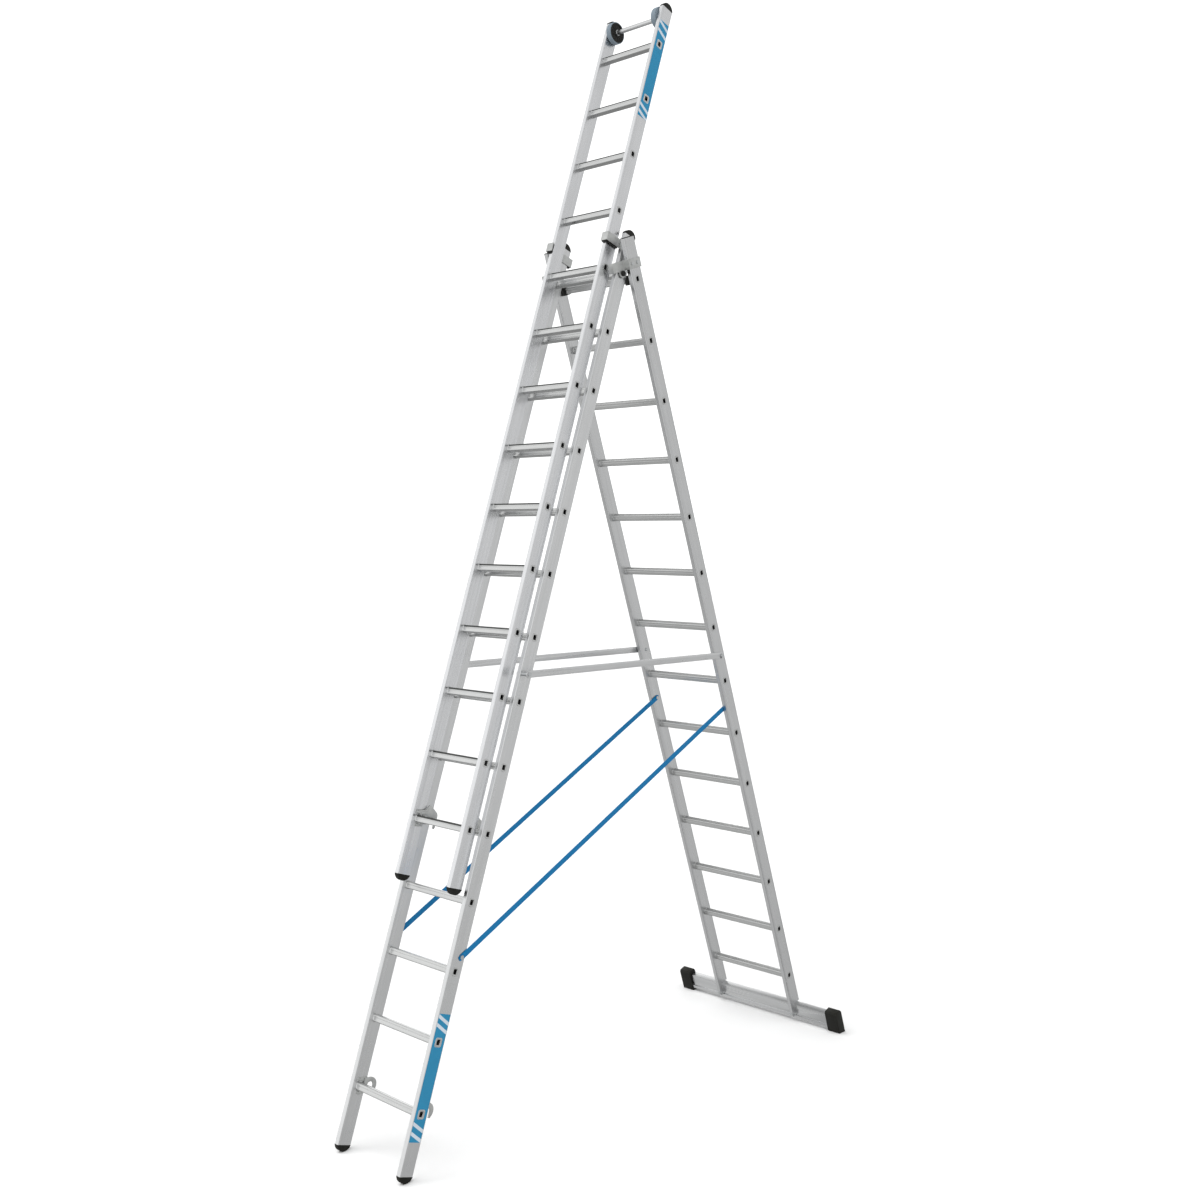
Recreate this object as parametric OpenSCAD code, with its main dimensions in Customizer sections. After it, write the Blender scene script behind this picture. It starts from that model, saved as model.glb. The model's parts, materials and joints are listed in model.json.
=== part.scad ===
// Three-section combination ladder: a front and a rear section hinged into an A-frame,
// and an upper section hooked on the front one as an extension. Millimetres, +Z up,
// the rungs along X, the climbing side towards -Y, the origin under the middle on the floor.
// Each section is drawn upright in its own frame: Z along its stiles with zero at the first
// rung's axis, Y zero at the middle of the stiles' depth, -Y towards its climbing side.

/* [Sections] */
// Number of rungs in each section
rung_count = 14; // [12:1:14]
// Distance from rung to rung
pitch = 280; // [270:1:290]
// Stile from its lower end to the first rung's axis
stile_below = 240; // [230:1:250]
// Stile from the last rung's axis to its upper end
stile_above = 184; // [180:1:200]
// Outer width of the upper section
upper_w = 358; // [356:1:359]
// Outer width of the front section
front_w = 430; // [429:1:432]
// Outer width of the rear section
rear_w = 504; // [503:1:508]

/* [Profiles] */
// Thickness of every stile, across the ladder
stile_t = 22; // [21:0.5:22.5]
// Depth of the front and upper stiles
stile_d = 68; // [64:1:68]
// Depth of the rear stiles
rear_stile_d = 72; // [70:1:72]
// Wall of the stiles
stile_wall = 1.8; // [1.5:0.1:2.2]
// Depth of a rung, front to back
rung_d = 28; // [26:1:28]
// Height of a rung
rung_h = 30; // [26:1:30]
// Wall of the rungs
rung_wall = 2; // [1.6:0.1:2.4]

/* [Stance] */
// Lean of the front section from the vertical, in degrees
front_lean = 18.31; // [16:0.01:20]
// Lean of the rear section from the vertical, in degrees
rear_lean = 19.45; // [17:0.01:21]
// Rungs by which the upper section is extended
extended_rungs = 4; // [0:1:6]
// Middle plane of the upper section in front of the front section's
section_step = 69.6; // [69.5:0.1:72]

/* [Crossbar] */
// Length of the stabiliser over its feet
crossbar_w = 1042; // [900:2:1200]
// Height of the crossbar
crossbar_h = 82; // [70:1:84]
// Depth of the crossbar
crossbar_d = 32; // [28:1:34]

/* [Rollers] */
// Diameter of the wall rollers
roller_dia = 100; // [80:2:104]
// Width of a roller
roller_width = 26; // [20:1:28]

/* [Hidden] */
$fn = 48;

aluminium = [0.80, 0.81, 0.82];
cast_grey = [0.66, 0.68, 0.69];
steel = [0.60, 0.61, 0.62];
black = [0.09, 0.09, 0.08];
tyre_grey = [0.50, 0.54, 0.57];
blue = [0.13, 0.53, 0.72];
strap_blue = [0.10, 0.42, 0.66];

// Rungs and stiles
last_rung = pitch * (rung_count - 1);
stile_top = last_rung + stile_above;
stile_r = 3;
bead = 7;
bead_groove = 1.6;
bead_depth = 0.5;
rung_r = 5;
tread_grooves = [-7, 0, 7];
tread_groove_w = 2.4;
face_grooves = [5.5, 9];
face_groove_w = 1.8;
groove_depth = 0.8;
hole_gap = 0.1;
rim = 1;
collar = 3;
collar_over = 3;
upper_x = upper_w / 2;
front_x = front_w / 2;
rear_x = rear_w / 2;

// Bolts and rivets
bolt_r = 4;
bolt_head_r = 7;
bolt_head_h = 4;
bolt_hole_r = bolt_r + hole_gap;
bolt_grip = 3;

// End caps: an arched cap on each stile end, with a plug inside the tube
cap_r = stile_d / 2 + 1.5;
cap_centre = 9;
cap_over = 1;
plug_len = 22;

// Guide brackets on the front section's top, round the upper section's stiles
guide_z0 = last_rung + 113;
guide_z1 = last_rung + 153;
guide_t = 4;
guide_front = section_step + stile_d / 2 + 12;
guide_back = stile_d / 2 + 20;
guide_x = front_x - stile_t - guide_t;
guide_lip_x = upper_x - stile_t - 2;
guide_hook_w = 16;
guide_bolt_y = -19;
guide_bolt_z = [guide_z0 + 10, guide_z1 - 10];
slider_gap = 2;
slider_back = stile_d / 2 + 4;
slider_drop = 5;
pad_w = 12;
pad_gap = 0.3;

// Fold hinge, on the axis of the front section's last rung
hinge_gap = 56.5;
hinge_up = 3678.4 - 3640 + last_rung;
pin_r = 6;
pin_bore_r = 6.05;
bracket_t = 4;
bracket_x = front_x + 4;
bracket_z0 = hinge_up + 10;
bracket_z1 = hinge_up + 54;
bracket_front = hinge_gap + 57;
bracket_lip_x = front_x - 19;
bracket_hook_w = 8;
bracket_bolt_y = 18;
bracket_bolt_z = (bracket_z0 + bracket_z1) / 2;
lobe_r = 20;
knob_r = 12;
knob_h = 8;

// Placing of the sections: the front feet and the rear feet stand on z = 0
front_z = (stile_below - cap_centre) * cos(front_lean) + cap_r;
hinge_dy = last_rung * sin(front_lean);
hinge_z = front_z + last_rung * cos(front_lean);
rear_dy = hinge_dy + hinge_gap * cos(rear_lean) + hinge_up * sin(rear_lean);
rear_z = hinge_z + hinge_gap * sin(rear_lean) - hinge_up * cos(rear_lean);
foot_front = -22;
foot_back = 28;
function sole_z(y) = -(rear_z + y * sin(rear_lean)) / cos(rear_lean);
front_reach = (stile_below - cap_centre) * sin(front_lean) + cap_r;
rear_reach = rear_dy + foot_back * cos(rear_lean) - sole_z(foot_back) * sin(rear_lean);
front_y = (front_reach - rear_reach) / 2;
hinge_y = front_y + hinge_dy;
function front_point(y, z) = [front_y + y * cos(front_lean) + z * sin(front_lean),
                              front_z - y * sin(front_lean) + z * cos(front_lean)];
function rear_point(y, z) = [front_y + rear_dy + y * cos(rear_lean) - z * sin(rear_lean),
                             rear_z + y * sin(rear_lean) + z * cos(rear_lean)];

// Crossbar across the rear section's lower end
bar_top = -172;
bar_bottom = bar_top - crossbar_h;
bar_front = -12;
bar_wall = 2.5;
lip_out = 6;
lip_h = 18;
tab_bottom = bar_bottom + lip_h + 2;
foot_len = 71;
foot_overlap = 40;
bar_bolt_z = bar_bottom + lip_h + 14;
bar_bolt_r = 4;

// Spreader bars: posts on the front stiles, studs on the rear stiles
post_y = -22;
post_z = 1797;
post_r = 9;
stud_y = 9;
stud_z = 1810;
spindle_r = 5;
spreader_x = rear_x + 1.5;
spreader_t = 4.2;
spreader_w = 30;
spreader_head_x = spreader_x + spreader_t + 0.5;
post = front_point(post_y, post_z);
stud = rear_point(stud_y, stud_z);
spreader_len = norm(stud - post);
spreader_angle = atan2(stud[1] - post[1], stud[0] - post[0]);
hook_angle = -119;
hook_gap = 0.35;

// Straps between the front stiles' outer and the rear stiles' inner faces
strap_w = 25;
strap_t = 1.6;
strap_front_x = front_x + 2;
strap_rear_x = rear_x - stile_t - 3;
strap_end = 14;
strap_head_r = 9;
strap_front_y = 14;
strap_front_z = 620;
strap_rear_z = 1545;
strap_front = front_point(strap_front_y, strap_front_z);
strap_rear = rear_point(0, strap_rear_z);
strap_run = norm(strap_rear - strap_front);
strap_angle = atan2(strap_rear[1] - strap_front[1], strap_rear[0] - strap_front[0]);
strap_yaw = atan2(strap_rear_x - strap_front_x, strap_run);

// Clamp plates round the collars of the rungs that carry hooks, with a rivet above and below
clamp_t = 3;
clamp_outline = [[-14, 19.5], [-14, 33], [30, 39], [30, -30],
                 [-10, -33], [-10, -19.5], [19, -19.5], [19, 19.5]];
rivet_r = 6.5;
rivet_top = [-5, 27];
rivet_low = [2, -27];
rivet_out = 10;

// Fixed hooks at the front section's first rung, over a rung of the section behind
hook_t = 6;
hook_x = front_x - stile_t - clamp_t - hook_t;
hook_centre = [50, 7];
hook_in = 15.5;
hook_out = 34;
hook_root = [[17, 36], [17, 6], [22, 0], [hook_centre[0] - hook_in, 0]];
hook_tip = [[hook_centre[0] + hook_in, -18], [67, -20], [72, -20]];

// Latches at the upper section's first rung, over a rung of the front section
latch_t = 6;
latch_x = upper_x - stile_t - clamp_t - 2 - latch_t;
latch_pin = [-6, 28.5];
latch_eye_r = 9;
latch_pin_r = 4;
latch_bore_r = 4.05;
latch_back = section_step + rung_d / 2 + 1;
latch_seat = rung_h / 2 + 0.6;
latch_under = [[latch_back, latch_seat], [50, latch_seat], [30, 20]];
latch_over = [[16, 41], [27, 46], [34, 60], [41, 65], [50, 63], [85, 43], [93, 34], [95, 24],
              [95, -22], [90, -30], [86, -29], [latch_back, -24]];

// Rollers on an axle near the upper section's top
roller_z = last_rung + 146;
axle_r = 11;
axle_wall = 2;
axle_x = upper_x - stile_wall - 0.3;
axle_collar_t = 2.5;
axle_collar_w = 5;
collar_gap = 0.4;
roller_bore_r = 11.05;
roller_x0 = upper_x - stile_t - 4 - roller_width;
roller_x1 = roller_x0 + roller_width;
tyre_t = 4;
rim_w = 6;
hub_r = 17;
web_in = 4;

// Labels on the right stiles' outer faces
label_w = 60;
label_t = 0.4;
label_gap = 1;
front_label_z = [-108, 392];
upper_label_z = [last_rung - 375, last_rung + 112];

// ---------- frames and small shapes ----------

module on_front() translate([0, front_y, front_z]) rotate([-front_lean, 0, 0]) children();

module on_upper() on_front() translate([0, -section_step, pitch * extended_rungs]) children();

module on_rear() translate([0, hinge_y, hinge_z]) rotate([rear_lean, 0, 0])
    translate([0, hinge_gap, -hinge_up]) children();

module left() mirror([1, 0, 0]) children();

// An outline drawn in (Y, Z), extruded from x0 to x1
module along_x(x0, x1) translate([x0, 0, 0]) rotate([90, 0, 90]) linear_extrude(x1 - x0) children();

module rod(x0, x1, r, y = 0, z = 0)
    translate([x0, y, z]) rotate([0, 90, 0]) cylinder(h = x1 - x0, r = r);

// Points round an arc, from angle a0 to a1
function arc(c, r, a0, a1) = [for (a = [a0 : 15 : a1]) c + r * [cos(a), sin(a)]];

module rounded(w, h, r) {
    square([w - 2 * r, h], center = true);
    square([w, h - 2 * r], center = true);
    for (sx = [-1, 1], sy = [-1, 1]) translate([sx * (w / 2 - r), sy * (h / 2 - r)]) circle(r);
}

// ---------- stiles, rungs, caps ----------

module stile_section(depth) {
    difference() {
        rounded(stile_t, depth, stile_r);
        rounded(stile_t - 2 * stile_wall, depth - 2 * stile_wall, stile_r - 1);
        for (sx = [-1, 1], sy = [-1, 1])
            translate([sx * stile_t / 2, sy * (depth / 2 - bead)])
                square([2 * bead_depth, bead_groove], center = true);
    }
}

module stile(x, depth, z0 = -stile_below) {
    difference() {
        translate([x - stile_t / 2, 0, z0]) linear_extrude(stile_top - z0) stile_section(depth);
        for (k = [0 : rung_count - 1]) translate([0, 0, k * pitch])
            along_x(x - stile_t - 1, x + 1)
                rounded(rung_d + 2 * hole_gap, rung_h + 2 * hole_gap, rung_r + hole_gap);
    }
}

module rung_outline() {
    difference() {
        rounded(rung_d, rung_h, rung_r);
        for (y = tread_grooves) translate([y, rung_h / 2])
            square([tread_groove_w, 2 * groove_depth], center = true);
        for (s = [-1, 1], z = face_grooves) translate([s * rung_d / 2, z])
            square([2 * groove_depth, face_groove_w], center = true);
    }
}

module collar_outline() rounded(rung_d + 2 * collar_over, rung_h + 2 * collar_over, rung_r + collar_over);

module rung(x) {
    difference() {
        union() {
            along_x(-x, x) rung_outline();
            for (m = [0, 1]) mirror([m, 0, 0]) {
                along_x(x, x + rim) collar_outline();
                along_x(x - stile_t - collar, x - stile_t) collar_outline();
            }
        }
        along_x(-x - 2, x + 2)
            rounded(rung_d - 2 * rung_wall, rung_h - 2 * rung_wall, rung_r - rung_wall);
    }
}

module rungs(x) for (k = [0 : rung_count - 1]) translate([0, 0, k * pitch]) rung(x);

// An arched cap below a stile end at height z, with its plug in the tube above
module end_cap(x, z) translate([x - stile_t / 2, 0, z]) {
    intersection() {
        translate([0, 0, cap_centre]) rod(-stile_t / 2 - cap_over / 2, stile_t / 2 + cap_over / 2, cap_r);
        translate([-stile_t, -stile_d, -2 * stile_d]) cube([2 * stile_t, 2 * stile_d, 2 * stile_d]);
    }
    translate([0, 0, -1]) linear_extrude(plug_len)
        rounded(stile_t - 2 * stile_wall - 0.2, stile_d - 2 * stile_wall - 0.2, stile_r - 1);
}

module top_cap(x) translate([0, 0, stile_top]) mirror([0, 0, 1]) end_cap(x, 0);

// ---------- front section ----------

module front_stile() {
    color(aluminium) on_front() difference() {
        stile(front_x, stile_d);
        rod(front_x - stile_t - 1, front_x + 1, spindle_r + hole_gap, post_y, post_z);
        rod(front_x - bolt_grip - 1, front_x + 1, bolt_hole_r, strap_front_y, strap_front_z);
        for (z = guide_bolt_z)
            rod(front_x - stile_t - 1, front_x - stile_t + bolt_grip + 1, bolt_hole_r, guide_bolt_y, z);
    }
}
module front_stile_right() front_stile();
module front_stile_left() left() front_stile();
module front_rungs() color(aluminium) on_front() rungs(front_x);
module front_foot_right() color(black) on_front() end_cap(front_x, -stile_below);
module front_foot_left() left() front_foot_right();
module front_top_cap_right() color(black) on_front() top_cap(front_x);
module front_top_cap_left() left() front_top_cap_right();

// A clamp plate whose inner side lies at x, on the stile's inner face, with its lower rivet
module clamp(x) {
    along_x(x, x + clamp_t) polygon(clamp_outline);
    rod(x + clamp_t - rivet_out, x + 1, rivet_r, rivet_low[0], rivet_low[1]);
}

module front_hook() {
    color(cast_grey) on_front() {
        clamp(hook_x + hook_t);
        rod(hook_x + hook_t + clamp_t - rivet_out, hook_x + hook_t + 1, rivet_r, rivet_top[0], rivet_top[1]);
        along_x(hook_x, hook_x + hook_t) polygon(concat(
            arc(hook_centre, hook_out, -45, 105), hook_root,
            [for (p = arc(hook_centre, hook_in, 0, 180)) [2 * hook_centre[0] - p[0], p[1]]],
            hook_tip));
    }
}
module front_hook_right() front_hook();
module front_hook_left() left() front_hook();

module guide_bracket() {
    color(cast_grey) on_front() difference() {
        translate([0, 0, guide_z0]) linear_extrude(guide_z1 - guide_z0) {
            translate([guide_x, -guide_front]) square([guide_t, guide_front + guide_back]);
            translate([guide_lip_x, -guide_front]) square([guide_x + guide_t - guide_lip_x, guide_t]);
            translate([guide_x, guide_back - guide_t]) square([guide_hook_w, guide_t]);
        }
        for (z = guide_bolt_z) rod(guide_x - 1, guide_x + guide_t + 1, bolt_hole_r, guide_bolt_y, z);
    }
}
module guide_bracket_right() guide_bracket();
module guide_bracket_left() left() guide_bracket();

module guide_slider() {
    inner_y = guide_front - guide_t;
    stile_front = section_step + stile_d / 2 + slider_gap;
    color(black) on_front() translate([0, 0, guide_z0 - slider_drop])
        linear_extrude(guide_z1 - guide_z0 + slider_drop) {
            translate([upper_x + slider_gap, -inner_y])
                square([guide_x - upper_x - slider_gap, inner_y - slider_back]);
            translate([guide_lip_x + guide_t, -inner_y])
                square([guide_x - guide_lip_x - guide_t, inner_y - stile_front]);
            translate([guide_x + guide_t + pad_gap, stile_d / 2 + pad_gap])
                square([pad_w, guide_back - guide_t - stile_d / 2 - 2 * pad_gap]);
        }
}
module guide_slider_right() guide_slider();
module guide_slider_left() left() guide_slider();

module guide_bolt() for (z = guide_bolt_z) {
    rod(guide_x, guide_x + guide_t + bolt_grip, bolt_r, guide_bolt_y, z);
    rod(guide_x - bolt_head_h, guide_x, bolt_head_r, guide_bolt_y, z);
}
module guide_bolts() color(steel) on_front() { guide_bolt(); left() guide_bolt(); }

module fold_pin() {
    flange_x = front_x + rim;
    color(steel) on_front() translate([0, 0, last_rung]) {
        along_x(front_x - 40, flange_x)
            rounded(rung_d - 2 * rung_wall - 0.2, rung_h - 2 * rung_wall - 0.2, rung_r - rung_wall);
        rod(flange_x, flange_x + 1.5, 15);
        rod(flange_x + 1.5, bracket_x + bracket_t + 1, pin_r);
    }
}
module fold_pin_right() fold_pin();
module fold_pin_left() left() fold_pin();

module fold_knob() {
    knob_x = bracket_x + bracket_t + 1;
    color(black) on_front() translate([knob_x, 0, last_rung]) rotate([0, 90, 0])
        rotate_extrude() polygon([
            [0, 0], [knob_r, 0], [knob_r, knob_h - 3], [knob_r - 3, knob_h], [0, knob_h]]);
}
module fold_knob_right() fold_knob();
module fold_knob_left() left() fold_knob();

module spreader_post() {
    color(steel) on_front() {
        rod(front_x - stile_t - 5, front_x - stile_t, 8, post_y, post_z);
        rod(front_x - stile_t, front_x, spindle_r, post_y, post_z);
        rod(front_x, spreader_x - 0.5, post_r, post_y, post_z);
        rod(spreader_x - 0.5, spreader_head_x, spindle_r, post_y, post_z);
        rod(spreader_head_x, spreader_head_x + 4, post_r, post_y, post_z);
    }
}
module spreader_post_right() spreader_post();
module spreader_post_left() left() spreader_post();

module front_strap_bolt() {
    rod(front_x - bolt_grip, front_x + bolt_head_h, bolt_r, strap_front_y, strap_front_z);
    rod(front_x + bolt_head_h, front_x + bolt_head_h + 3, strap_head_r, strap_front_y, strap_front_z);
}
module front_strap_bolts() color(steel) on_front() { front_strap_bolt(); left() front_strap_bolt(); }

module label(x, span, rungs_under) {
    difference() {
        translate([x, -label_w / 2, span[0]]) cube([label_t, label_w, span[1] - span[0]]);
        for (k = rungs_under) translate([0, 0, k * pitch])
            along_x(x - 1, x + 1)
                rounded(rung_d + 2 * collar_over + 2 * label_gap,
                        rung_h + 2 * collar_over + 2 * label_gap, rung_r + collar_over + label_gap);
    }
}
module front_label() color(blue) on_front() label(front_x, front_label_z, [0, 1]);

// ---------- straps ----------

module strap() {
    color(strap_blue) translate([strap_front_x, strap_front[0], strap_front[1]])
        rotate([strap_angle, 0, 0]) rotate([0, 0, -strap_yaw]) difference() {
            translate([-strap_t / 2, -strap_end, -strap_w / 2])
                cube([strap_t, strap_run + 2 * strap_end, strap_w]);
            for (y = [0, strap_run]) rod(-strap_t, strap_t, bolt_r + hook_gap, y);
        }
}
module strap_right() strap();
module strap_left() left() strap();

// ---------- rear section ----------

module rear_stile() {
    color(aluminium) on_rear() difference() {
        stile(rear_x, rear_stile_d, tab_bottom);
        translate([rear_x - stile_t - 1, bar_front, tab_bottom - 1])
            cube([stile_t + 2, rear_stile_d, bar_top - tab_bottom + 1]);
        rod(rear_x - stile_t - 1, rear_x + 1, spindle_r + hole_gap, stud_y, stud_z);
        rod(rear_x - stile_t - 1, rear_x - stile_t + bolt_grip + 1, bolt_hole_r, 0, strap_rear_z);
        for (y = [-bracket_bolt_y, bracket_bolt_y])
            rod(rear_x - bolt_grip - 1, rear_x + 1, bolt_hole_r, y, bracket_bolt_z);
        translate([rear_x - stile_t / 2, bar_front, bar_bolt_z]) rotate([90, 0, 0])
            cylinder(h = rear_stile_d, r = bar_bolt_r + hole_gap);
    }
}
module rear_stile_right() rear_stile();
module rear_stile_left() left() rear_stile();
module rear_rungs() color(aluminium) on_rear() rungs(rear_x);

module rear_end_plug() translate([rear_x - stile_t / 2, 0, stile_top]) {
    linear_extrude(3) rounded(stile_t, rear_stile_d, stile_r);
    translate([0, 0, -plug_len]) linear_extrude(plug_len)
        rounded(stile_t - 2 * stile_wall - 0.2, rear_stile_d - 2 * stile_wall - 0.2, stile_r - 1);
}
module rear_end_plugs() color(black) on_rear() { rear_end_plug(); left() rear_end_plug(); }

module fold_bracket() {
    half = rear_stile_d / 2;
    plate_x = rear_x + bracket_t;
    color(cast_grey) on_rear() difference() {
        union() {
            translate([0, 0, bracket_z0]) linear_extrude(bracket_z1 - bracket_z0) {
                translate([rear_x, -half - bracket_t]) square([bracket_t, 2 * (half + bracket_t)]);
                translate([rear_x - bracket_hook_w, half]) square([bracket_hook_w, bracket_t]);
                translate([bracket_x, -half - bracket_t]) square([plate_x - bracket_x, bracket_t]);
                translate([bracket_x, -bracket_front]) square([bracket_t, bracket_front - half]);
                translate([bracket_lip_x, -bracket_front])
                    square([bracket_x + bracket_t - bracket_lip_x, bracket_t]);
            }
            rod(bracket_x, bracket_x + bracket_t, lobe_r, -hinge_gap, hinge_up);
            translate([bracket_x, -hinge_gap - lobe_r, hinge_up])
                cube([bracket_t, 2 * lobe_r, bracket_z0 - hinge_up + 1]);
        }
        rod(bracket_x - 1, bracket_x + bracket_t + 1, pin_bore_r, -hinge_gap, hinge_up);
        for (y = [-bracket_bolt_y, bracket_bolt_y])
            rod(rear_x - 1, plate_x + 1, bolt_hole_r, y, bracket_bolt_z);
    }
}
module fold_bracket_right() fold_bracket();
module fold_bracket_left() left() fold_bracket();

module fold_bracket_bolt() for (y = [-bracket_bolt_y, bracket_bolt_y]) {
    rod(rear_x - bolt_grip, rear_x + bracket_t, bolt_r, y, bracket_bolt_z);
    rod(rear_x + bracket_t, rear_x + bracket_t + bolt_head_h - 1, bolt_head_r, y, bracket_bolt_z);
}
module fold_bracket_bolts() color(steel) on_rear() { fold_bracket_bolt(); left() fold_bracket_bolt(); }

module fold_buffer() {
    color(black) on_rear() translate([0, 0, last_rung])
        along_x(front_x - stile_t - 2, front_x + 2) difference() {
            polygon([[-21, -20], [-21, 10], [-13, 21], [18, 21], [18, -20]]);
            rounded(rung_d + 2 * hole_gap, rung_h + 2 * hole_gap, rung_r + hole_gap);
        }
}
module fold_buffer_right() fold_buffer();
module fold_buffer_left() left() fold_buffer();

module crossbar_outline(gap = 0) {
    translate([bar_front - gap, bar_bottom - gap])
        square([crossbar_d + 2 * gap, crossbar_h + 2 * gap]);
    translate([bar_front - lip_out - gap, bar_bottom - gap]) square([lip_out + 1, lip_h + 2 * gap]);
}
module crossbar() {
    half = crossbar_w / 2 - foot_len + foot_overlap;
    color(aluminium) on_rear() difference() {
        along_x(-half, half) crossbar_outline();
        along_x(-half - 1, half + 1) translate([bar_front + bar_wall, bar_bottom + bar_wall])
            square([crossbar_d - 2 * bar_wall, crossbar_h - 2 * bar_wall]);
        for (s = [-1, 1]) translate([s * (rear_x - stile_t / 2), bar_front + 5, bar_bolt_z])
            rotate([90, 0, 0]) cylinder(h = 10, r = bar_bolt_r + hole_gap);
    }
}

module crossbar_foot() {
    inner = crossbar_w / 2 - foot_len;
    color(black) on_rear() difference() {
        along_x(inner, crossbar_w / 2) polygon([
            [foot_front, sole_z(foot_front)], [foot_back, sole_z(foot_back)],
            [foot_back, bar_top + 6], [foot_back - 8, bar_top + 18],
            [foot_front + 8, bar_top + 18], [foot_front, bar_top + 8]]);
        along_x(inner - 1, inner + foot_overlap) crossbar_outline(0.2);
    }
}
module crossbar_foot_right() crossbar_foot();
module crossbar_foot_left() left() crossbar_foot();

module crossbar_bolt() translate([rear_x - stile_t / 2, 0, bar_bolt_z]) rotate([90, 0, 0]) {
    translate([0, 0, rear_stile_d / 2]) cylinder(h = 5, r = bolt_head_r);
    translate([0, 0, -bar_front - 6]) cylinder(h = rear_stile_d / 2 + bar_front + 6, r = bar_bolt_r);
    translate([0, 0, -bar_front - bar_wall - 5]) cylinder(h = 5, r = 6.5);
}
module crossbar_bolts() color(steel) on_rear() { crossbar_bolt(); left() crossbar_bolt(); }

module spreader_stud() {
    color(steel) on_rear() {
        rod(rear_x - stile_t - 5, rear_x - stile_t, 8, stud_y, stud_z);
        rod(rear_x - stile_t, spreader_head_x, spindle_r, stud_y, stud_z);
        rod(spreader_head_x, spreader_head_x + 4, post_r, stud_y, stud_z);
    }
}
module spreader_stud_right() spreader_stud();
module spreader_stud_left() left() spreader_stud();

module rear_strap_bolt() {
    inner = rear_x - stile_t;
    rod(inner - 5, inner + bolt_grip, bolt_r, 0, strap_rear_z);
    rod(inner - 8, inner - 5, strap_head_r, 0, strap_rear_z);
}
module rear_strap_bolts() color(steel) on_rear() { rear_strap_bolt(); left() rear_strap_bolt(); }

// ---------- spreader bars ----------

module spreader() {
    slot_r = spindle_r + hook_gap;
    color(aluminium) translate([0, post[0], post[1]]) rotate([spreader_angle, 0, 0])
        difference() {
            along_x(spreader_x, spreader_x + spreader_t) polygon(concat(
                arc([spreader_len, 0], spreader_w / 2, -90, 90),
                arc([0, 0], spreader_w / 2, 90, 270)));
            rod(spreader_x - 1, spreader_x + spreader_t + 1, spindle_r + 0.05);
            along_x(spreader_x - 1, spreader_x + spreader_t + 1) translate([spreader_len, 0])
                rotate(hook_angle) polygon(concat(arc([0, 0], slot_r, 90, 270),
                    [[2 * spreader_w, -slot_r], [2 * spreader_w, slot_r]]));
        }
}
module spreader_right() spreader();
module spreader_left() left() spreader();

// ---------- upper section ----------

module upper_stile() {
    color(aluminium) on_upper() difference() {
        stile(upper_x, stile_d);
        rod(upper_x - stile_t - 1, upper_x - stile_t + 4, axle_r + hole_gap, 0, roller_z);
        rod(upper_x - stile_t - 1, upper_x - stile_t + bolt_grip + 1, latch_pin_r + hole_gap,
            latch_pin[0], latch_pin[1]);
    }
}
module upper_stile_right() upper_stile();
module upper_stile_left() left() upper_stile();
module upper_rungs() color(aluminium) on_upper() rungs(upper_x);
module upper_foot_right() color(black) on_upper() end_cap(upper_x, -stile_below);
module upper_foot_left() left() upper_foot_right();
module upper_top_cap_right() color(black) on_upper() top_cap(upper_x);
module upper_top_cap_left() left() upper_top_cap_right();
module upper_label() color(blue) on_upper()
    label(upper_x, upper_label_z, [rung_count - 2, rung_count - 1]);

module latch_mount() {
    inner = upper_x - stile_t;
    spacer_x = latch_x + latch_t + 0.3;
    color(cast_grey) on_upper() {
        clamp(inner - clamp_t);
        rod(spacer_x, inner - 1, latch_eye_r - 1, latch_pin[0], latch_pin[1]);
        rod(latch_x - 1, inner + bolt_grip, latch_pin_r, latch_pin[0], latch_pin[1]);
        rod(latch_x - 4, latch_x - 0.4, bolt_head_r, latch_pin[0], latch_pin[1]);
    }
}
module latch_mount_right() latch_mount();
module latch_mount_left() left() latch_mount();

module latch() {
    color(cast_grey) on_upper() difference() {
        along_x(latch_x, latch_x + latch_t) polygon(concat(latch_under,
            [for (p = arc(latch_pin, latch_eye_r, 90, 270)) [p[0], 2 * latch_pin[1] - p[1]]],
            latch_over));
        rod(latch_x - 1, latch_x + latch_t + 1, latch_bore_r, latch_pin[0], latch_pin[1]);
    }
}
module latch_right() latch();
module latch_left() left() latch();

module roller_axle() color(aluminium) on_upper() difference() {
    rod(-axle_x, axle_x, axle_r, 0, roller_z);
    rod(-axle_x - 1, axle_x + 1, axle_r - axle_wall, 0, roller_z);
}

module axle_collar() {
    for (span = [[roller_x0 - axle_collar_w, roller_x0 - collar_gap],
                 [roller_x1 + collar_gap, upper_x - stile_t]])
        difference() {
            rod(span[0], span[1], axle_r + axle_collar_t, 0, roller_z);
            rod(span[0] - 1, span[1] + 1, roller_bore_r, 0, roller_z);
        }
}
module axle_collars() color(steel) on_upper() { axle_collar(); left() axle_collar(); }

module roller_core() {
    core_r = roller_dia / 2 - tyre_t;
    web_r = core_r - rim_w;
    color(black) on_upper() translate([roller_x0, 0, roller_z]) rotate([0, 90, 0])
        rotate_extrude() polygon([
            [roller_bore_r, 0], [hub_r, 0], [hub_r + 3, web_in], [web_r - 3, web_in], [web_r, 0.5],
            [core_r, 0.5], [core_r, roller_width - 0.5], [web_r, roller_width - 0.5],
            [web_r - 3, roller_width - web_in], [hub_r + 3, roller_width - web_in],
            [hub_r, roller_width], [roller_bore_r, roller_width]]);
}
module roller_core_right() roller_core();
module roller_core_left() left() roller_core();

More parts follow.
